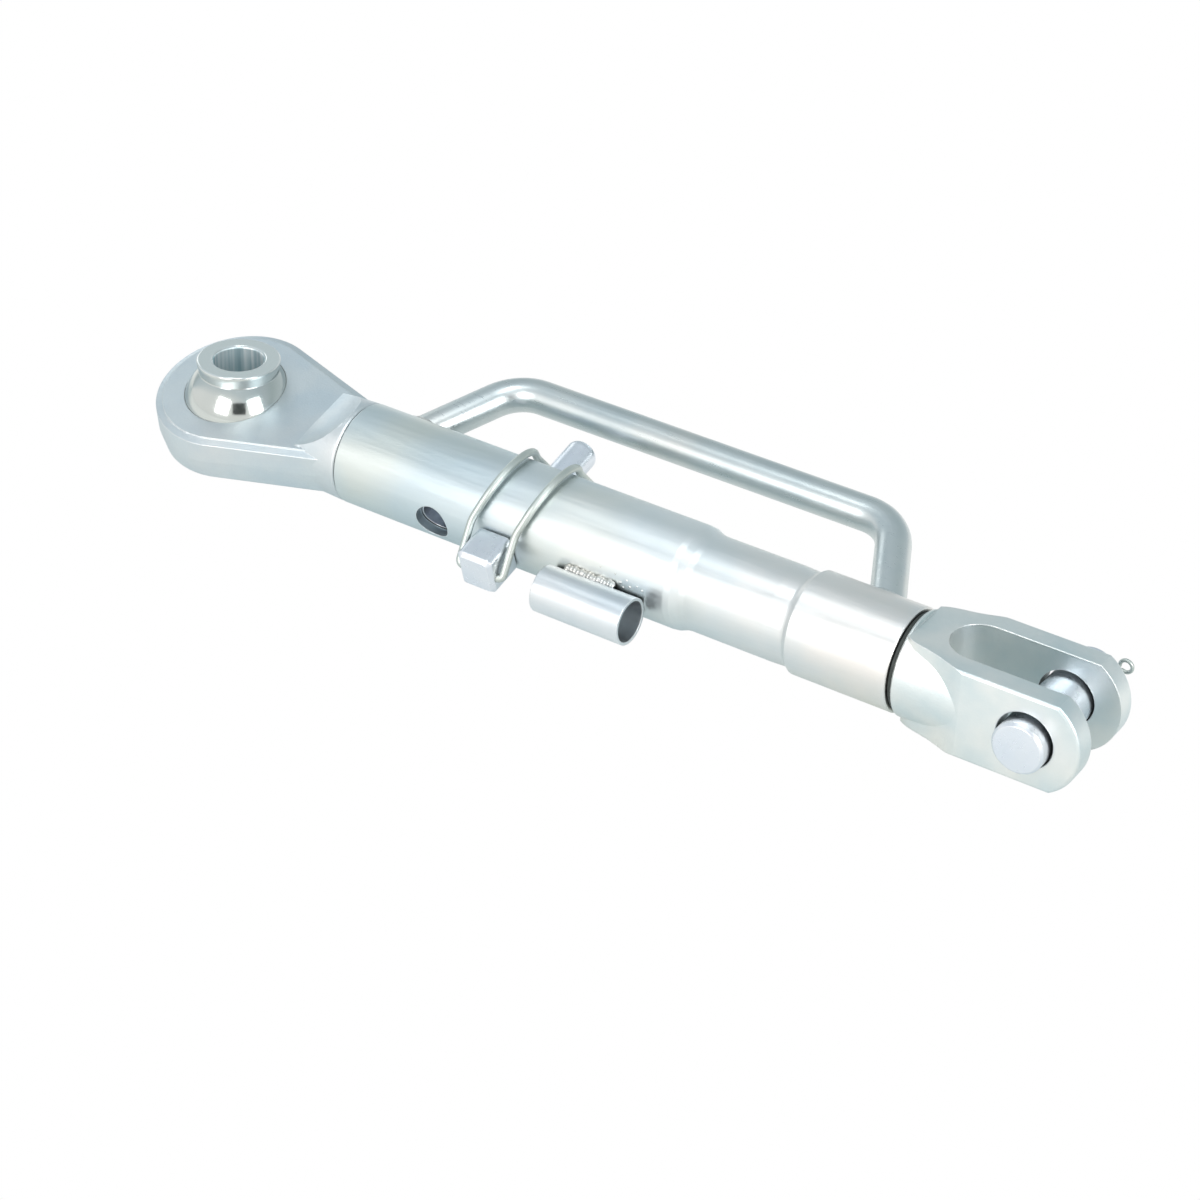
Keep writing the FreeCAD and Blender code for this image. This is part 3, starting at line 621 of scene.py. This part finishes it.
# %% [markdown]
# The welds come first of the forms that a CAD model leaves plain. A welder lays a bead as a row of
# small puddles, and each freezes over the last like a fish scale. A texture could draw the ripples,
# but the outline of the bead would stay straight. So we model one puddle, lay copies of it along the
# seam, and let a voxel remesh melt them into one skin.

# %% One weld puddle
bar_roll = math.radians(15.5)
bar_turn = Matrix.Rotation(bar_roll, 3, "X")


def on_bar(x, y, z):
    """A point or direction of the rolled bar, given flat in millimetres, as a place in metres."""
    return bar_turn @ Vector((x, y, z)) / 1000


bpy.ops.object.select_all(action="DESELECT")
bpy.ops.mesh.primitive_uv_sphere_add(segments=20, ring_count=12, radius=0.001)
puddle = bpy.context.active_object
puddle.name = "weld_puddle"
for vertex in puddle.data.vertices:
    vertex.select = vertex.co.z > 0.0004
bpy.ops.object.mode_set(mode="EDIT")
bpy.ops.transform.translate(value=(-0.0004, 0, 0))
bpy.ops.transform.resize(value=(1.0, 0.85, 0.8))
bpy.ops.object.mode_set(mode="OBJECT")
print("puddle points:", len(puddle.data.vertices))

# %% Lay puddles along a seam
chance = random.Random(11)


def lay_puddle(place, along, out, size):
    """Copy the puddle to a place in millimetres on the bar; size is along, across and out."""
    copy = puddle.copy()
    copy.data = puddle.data.copy()
    bpy.context.scene.collection.objects.link(copy)
    x_axis = (bar_turn @ Vector(along)).normalized()
    z_axis = (bar_turn @ Vector(out)).normalized()
    y_axis = z_axis.cross(x_axis).normalized()
    z_axis = x_axis.cross(y_axis)
    frame_turn = Matrix((x_axis, y_axis, z_axis)).transposed().to_4x4()
    wobble = [side * chance.uniform(0.88, 1.12) for side in size]
    copy.matrix_world = Matrix.Translation(on_bar(*place)) @ frame_turn @ Matrix.Diagonal((*wobble, 1))
    return copy


def melt(copies, name, voxel):
    """Join the puddles, put their places into the mesh and remesh them into one skin."""
    bpy.ops.object.select_all(action="DESELECT")
    for copy in copies:
        copy.select_set(True)
    bpy.context.view_layer.objects.active = copies[0]
    bpy.ops.object.join()
    bead = bpy.context.active_object
    bead.name = name
    bpy.ops.object.transform_apply(location=True, rotation=True, scale=True)
    skin = bead.modifiers.new("one_skin", "REMESH")
    skin.mode = "VOXEL"
    skin.voxel_size = voxel
    soften = bead.modifiers.new("soften", "SMOOTH")
    soften.factor = 0.5
    soften.iterations = 1
    bpy.ops.object.modifier_apply(modifier=skin.name)
    bpy.ops.object.modifier_apply(modifier=soften.name)
    bpy.ops.object.shade_smooth()
    print(name, "faces:", len(bead.data.polygons))
    return bead


print("weld helpers ready")

# %% [markdown]
# The handle is welded all round its foot. The seam is where the slanted bar meets the round tube, so
# each puddle's place is found by sliding a point of the bar's surface down to the tube, and it faces
# half way between the two surfaces.

# %% Handle welds
handle_radius = 7.5
handle_offset = 62.7


def handle_seam(name, foot_x, corner_x, tube_radius, node):
    """The bead round one foot of the handle, whose slanted end runs from the corner to the foot."""
    rise = handle_offset - tube_radius
    length = math.hypot(corner_x - foot_x, rise)
    lean, climb = (corner_x - foot_x) / length, rise / length
    count = 36
    copies = []
    for step in range(count):
        angle = 2 * math.pi * step / count
        bar_normal = Vector((-climb * math.cos(angle), lean * math.cos(angle), math.sin(angle)))
        side_z = handle_radius * bar_normal.z
        tube_y = math.sqrt(tube_radius ** 2 - side_z ** 2)
        slide = (tube_y - tube_radius - handle_radius * bar_normal.y) / climb
        place = Vector((foot_x, tube_radius, 0)) + bar_normal * handle_radius
        place += Vector((lean, climb, 0)) * slide
        tube_normal = Vector((0, tube_y, side_z)).normalized()
        out = (bar_normal + tube_normal).normalized()
        along = tube_normal.cross(bar_normal)
        copies.append(lay_puddle(place + out * 0.5, along, out, (1.5, 2.9, 1.7)))
    bead = melt(copies, name, 0.00028)
    bead.data.materials.append(weld_metal)
    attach(bead, "bar")
    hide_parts(node)
    return bead


handle_seam("left_foot_weld", 84.5, 106.5, 22.25, "handle_weld_left")
handle_seam("right_foot_weld", 312.4, 293.0, 21.95, "handle_weld_right")

# %% [markdown]
# The holder is only tacked: a short thin bead in each valley between it and the tube. The welder's
# arc also threw a few drops of metal on the tube beside the upper bead, and the plating covers them.

# %% Holder welds and spatter
holder_tube_radius = 22.25


def holder_seam(name, side, node, drops):
    """The bead on one side of the holder, with any drops given as (x, degrees up the tube, size)."""
    copies = []
    for step in range(14):
        x = 190.5 + step * 1.65
        place = (x, -22.6 + chance.uniform(-0.5, 0.5), side * (5.7 + chance.uniform(-0.35, 0.35)))
        copies.append(lay_puddle(place, (1, 0.15, 0), (0.25, 0, side), (1.45, 2.4, 1.9)))
    for x, degrees, size in drops:
        angle = math.radians(degrees)
        out = (0, -math.cos(angle), math.sin(angle))
        place = (x, holder_tube_radius * out[1], holder_tube_radius * out[2])
        copies.append(lay_puddle(place, (1, 0, 0), out, (size, size, size * 0.8)))
    bead = melt(copies, name, 0.0002)
    bead.data.materials.append(weld_metal)
    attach(bead, "bar")
    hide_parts(node)
    return bead


spatter = [
    (214.6, 19.0, 0.8), (217.5, 23.5, 0.55), (219.2, 17.5, 0.7), (222.4, 21.0, 0.5),
    (211.8, 26.0, 0.5), (225.0, 18.5, 0.6), (204.5, 27.5, 0.45), (216.0, 14.0, 0.6),
]
holder_seam("holder_weld_ripple", 1, "holder_weld_upper", spatter)
holder_seam("holder_weld_below", -1, "holder_weld_lower", [])
bpy.data.objects.remove(puddle, do_unlink=True)

# %% [markdown]
# Inside the seal the clevis has a right-hand screw of 3.5 mm pitch, which shows when the bar is let
# out. A thread is one small profile that climbs as it turns: we draw the profile of one pitch edge by
# edge, let a Screw modifier carry it round, merge neighbouring turns, and cut both ends flat.

# %% Thread profile
screw_radius = 13.5
thread_depth = 1.9
pitch = 3.5
screw_tip_x = 246.0
screw_end_x = 338.1


def draw_edge(dx, dz):
    """Extrude what is selected by a step in millimetres."""
    bpy.ops.mesh.extrude_region_move(TRANSFORM_OT_translate={"value": (dx / 1000, 0, dz / 1000)})


bpy.ops.object.select_all(action="DESELECT")
thread_start = (screw_tip_x - 2 * pitch) / 1000
bpy.ops.mesh.primitive_plane_add(size=0.002, location=(thread_start, 0, screw_radius / 1000))
thread = bpy.context.active_object
thread.name = "clevis_thread"
bpy.ops.object.transform_apply(location=True, rotation=True, scale=True)
bpy.ops.object.mode_set(mode="EDIT")
bpy.ops.mesh.select_all(action="SELECT")
bpy.ops.mesh.merge(type="CENTER")
crest, root = pitch / 8, pitch / 4
flank = (pitch - crest - root) / 2
draw_edge(crest, 0)
draw_edge(flank, -thread_depth)
draw_edge(root, 0)
draw_edge(flank, thread_depth)
bpy.ops.object.mode_set(mode="OBJECT")
print("thread profile points:", len(thread.data.vertices))

# %% Turn the thread and cut its ends
climb = thread.modifiers.new("climb", "SCREW")
climb.axis = "X"
climb.angle = 2 * math.pi
climb.screw_offset = pitch / 1000
climb.iterations = math.ceil((screw_end_x - screw_tip_x) / pitch) + 3
climb.steps = 40
climb.render_steps = 40
bpy.ops.object.modifier_apply(modifier=climb.name)
bpy.ops.object.mode_set(mode="EDIT")
bpy.ops.mesh.select_all(action="SELECT")
bpy.ops.mesh.remove_doubles(threshold=0.00001)
for x, clear_low in ((screw_tip_x, True), (screw_end_x, False)):
    bpy.ops.mesh.select_all(action="SELECT")
    bpy.ops.mesh.bisect(
        plane_co=(x / 1000, 0, 0), plane_no=(1, 0, 0), use_fill=True,
        clear_inner=clear_low, clear_outer=not clear_low,
    )
bpy.ops.mesh.select_all(action="SELECT")
bpy.ops.mesh.normals_make_consistent(inside=False)
bpy.ops.object.mode_set(mode="OBJECT")
bpy.ops.object.shade_smooth_by_angle(angle=math.radians(35))
thread.data.materials.append(turned_bar)
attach(thread, "clevis")
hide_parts("clevis_screw")
thread_x = [vertex.co.x * 1000 for vertex in thread.data.vertices]
thread_z = [vertex.co.z * 1000 for vertex in thread.data.vertices]
print("thread from", round(min(thread_x), 2), "to", round(max(thread_x), 2), "mm")
print("thread crest:", round(max(thread_z), 2), "mm")

# %% [markdown]
# The split pin is one soft wire folded double: its two legs lie side by side in the hole and part
# behind it, and the fold is left open as a round eye. We sweep a small ring along that path. Straight
# runs are extrusions and every bend is a spin about its own centre.

# %% Sweep the split pin
wire_radius = 0.8
leg_offset = 0.82
throat_bend = 1.5
eye_radius = 2.6
eye_distance = 17.6
throat = throat_bend + eye_radius
throat_length = math.sqrt(throat ** 2 - (leg_offset + throat_bend) ** 2)
throat_turn = math.asin(throat_length / throat)
leg_end = eye_distance - throat_length
upper_leg_tip = 13.5
lower_leg_tip = 12.0
tail_bend = 3.0
tail_length = 3.0
tail_turn = math.radians(40)


def bend(turn_angle, x, z, way, steps):
    """Spin the last ring about a centre on the pin's plane; way is 1 towards -Z and -1 towards +Z."""
    bpy.ops.mesh.spin(
        steps=steps, angle=turn_angle, center=(x / 1000, 0, z / 1000), axis=(0, -way, 0),
    )


bpy.ops.object.select_all(action="DESELECT")
bpy.ops.mesh.primitive_circle_add(
    vertices=12, radius=wire_radius / 1000, fill_type="NOTHING",
    location=(-upper_leg_tip / 1000, 0, leg_offset / 1000), rotation=(0, math.pi / 2, 0),
)
split_wire = bpy.context.active_object
split_wire.name = "split_pin_wire"
bpy.ops.object.transform_apply(location=True, rotation=True, scale=True)
bpy.ops.object.mode_set(mode="EDIT")
bpy.ops.mesh.select_all(action="SELECT")
draw_edge(leg_end + upper_leg_tip, 0)
bend(throat_turn, leg_end, leg_offset + throat_bend, -1, 6)
bend(math.pi + 2 * throat_turn, eye_distance, 0, 1, 24)
bend(throat_turn, leg_end, -leg_offset - throat_bend, -1, 6)
draw_edge(-(leg_end + lower_leg_tip), 0)
bend(tail_turn, -lower_leg_tip, -leg_offset - tail_bend, -1, 5)
draw_edge(-tail_length * math.cos(tail_turn), -tail_length * math.sin(tail_turn))
bpy.ops.mesh.select_all(action="SELECT")
bpy.ops.mesh.fill_holes(sides=0)
bpy.ops.mesh.select_all(action="SELECT")
bpy.ops.mesh.normals_make_consistent(inside=False)
bpy.ops.object.mode_set(mode="OBJECT")
print("split pin points:", len(split_wire.data.vertices))

# %% Put the split pin through the clevis pin
split_wire.rotation_euler = (0, math.radians(-35), 0)
split_wire.location = (0.3962, 0.0329, -0.00087)
bpy.ops.object.transform_apply(location=True, rotation=True, scale=True)
bpy.ops.object.shade_smooth_by_angle(angle=math.radians(50))
split_wire.data.materials.append(bright_wire)
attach(split_wire, "cross_pin")
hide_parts("split_pin")
split_x = [vertex.co.x * 1000 for vertex in split_wire.data.vertices]
print("split pin from x", round(min(split_x), 1), "to", round(max(split_x), 1), "mm")

# %% [markdown]
# On the real forging each flank runs into the ring as one line. The CAD piece keeps a small corner
# there, so we dress a copy of it: its loose triangles are merged, and the corner is cut away by a
# block that has the ring's own round shape taken out of it, a hair larger so that the ring stays.

# %% The ring as a turned drum
ring_outline = [
    (0, -12.0), (32.32, -12.0), (32.32, -10.43), (35.52, -9.34), (36.42, 0),
    (35.52, 9.34), (32.32, 10.43), (32.32, 12.0), (0, 12.0),
]
bpy.ops.object.select_all(action="DESELECT")
bpy.ops.mesh.primitive_plane_add(size=0.002, location=(0, 0, ring_outline[0][1] / 1000))
drum = bpy.context.active_object
drum.name = "ring_drum"
bpy.ops.object.transform_apply(location=True, rotation=True, scale=True)
bpy.ops.object.mode_set(mode="EDIT")
bpy.ops.mesh.select_all(action="SELECT")
bpy.ops.mesh.merge(type="CENTER")
for (reach, height), (next_reach, next_height) in zip(ring_outline[:-1], ring_outline[1:]):
    draw_edge(next_reach - reach, next_height - height)
bpy.ops.mesh.select_all(action="SELECT")
bpy.ops.mesh.spin(steps=180, angle=2 * math.pi, center=(0, 0, 0), axis=(0, 0, 1))
bpy.ops.mesh.select_all(action="SELECT")
bpy.ops.mesh.remove_doubles(threshold=0.000002)
bpy.ops.mesh.normals_make_consistent(inside=False)
bpy.ops.object.mode_set(mode="OBJECT")
print("drum points:", len(drum.data.vertices))

# %% Cut the corners off a copy of the forging


def merged_copy(node, name, material):
    """A copy of a CAD piece with its loose triangles merged, selected and active."""
    copy = nodes[node].copy()
    copy.data = nodes[node].data.copy()
    copy.name = name
    bpy.context.scene.collection.objects.link(copy)
    bpy.ops.object.select_all(action="DESELECT")
    copy.select_set(True)
    bpy.context.view_layer.objects.active = copy
    bpy.ops.object.mode_set(mode="EDIT")
    bpy.ops.mesh.select_all(action="SELECT")
    bpy.ops.mesh.remove_doubles(threshold=0.000002)
    bpy.ops.object.mode_set(mode="OBJECT")
    copy.data.materials.clear()
    copy.data.materials.append(material)
    return copy


def subtract(target, tool):
    """Cut the tool's shape out of the target and throw the tool away."""
    bpy.ops.object.select_all(action="DESELECT")
    target.select_set(True)
    bpy.context.view_layer.objects.active = target
    cut = target.modifiers.new("cut", "BOOLEAN")
    cut.operation = "DIFFERENCE"
    cut.solver = "EXACT"
    cut.object = tool
    bpy.ops.object.modifier_apply(modifier=cut.name)
    bpy.data.objects.remove(tool, do_unlink=True)


bpy.ops.object.select_all(action="DESELECT")
bpy.ops.mesh.primitive_cube_add(size=1.0, location=(0.0045, 0, 0))
corner_block = bpy.context.active_object
corner_block.name = "corner_block"
corner_block.scale = (0.011, 0.12, 0.03)
bpy.ops.object.transform_apply(location=True, rotation=True, scale=True)
subtract(corner_block, drum)
corner_block.rotation_euler = (bar_roll, 0, 0)
bpy.context.view_layer.update()

eye_forging = merged_copy("ball_end_forging", "eye_forging", forged_eye)
subtract(eye_forging, corner_block)
bpy.ops.object.shade_smooth_by_angle(angle=math.radians(9))
flat_faces = eye_forging.modifiers.new("flat_faces", "WEIGHTED_NORMAL")
flat_faces.keep_sharp = True
bpy.ops.object.modifier_apply(modifier=flat_faces.name)
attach(eye_forging, "ball_end")
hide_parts("ball_end_forging")
print("forging faces:", len(eye_forging.data.polygons))

# %% [markdown]
# The spring wire is the one piece so thin that its facets break up the light along it. A merged copy,
# shaded smooth all over, gives the long unbroken glint that drawn wire has.

# %% Smooth spring wire
spring_wire = merged_copy("wire_bail", "spring_wire", bright_wire)
bpy.ops.object.shade_smooth_by_angle(angle=math.radians(60))
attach(spring_wire, "bail")
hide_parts("wire_bail")
print("spring wire faces:", len(spring_wire.data.polygons))

# %% [markdown]
# Each CAD piece takes its finish now. The mesh stays as it came; only its material slots change.

# %% Dress the CAD pieces
finishes = {
    "main_tube": drawn_tube,
    "holder_tube": holder_finish,
    "threaded_bush": turned_bar,
    "turning_handle": handle_bar,
    "ball_end_shank": turned_bar,
    "swivel_ball": polished,
    "locking_pin": turned_bar,
    "locking_pin_head": turned_bar,
    "dust_seal_ring": rubber,
    "clevis_fork": forged_clevis,
    "clevis_pin": turned_bar,
}
for name, material in finishes.items():
    piece = nodes[name]
    piece.data.materials.clear()
    piece.data.materials.append(material)
print("dressed:", len(finishes))
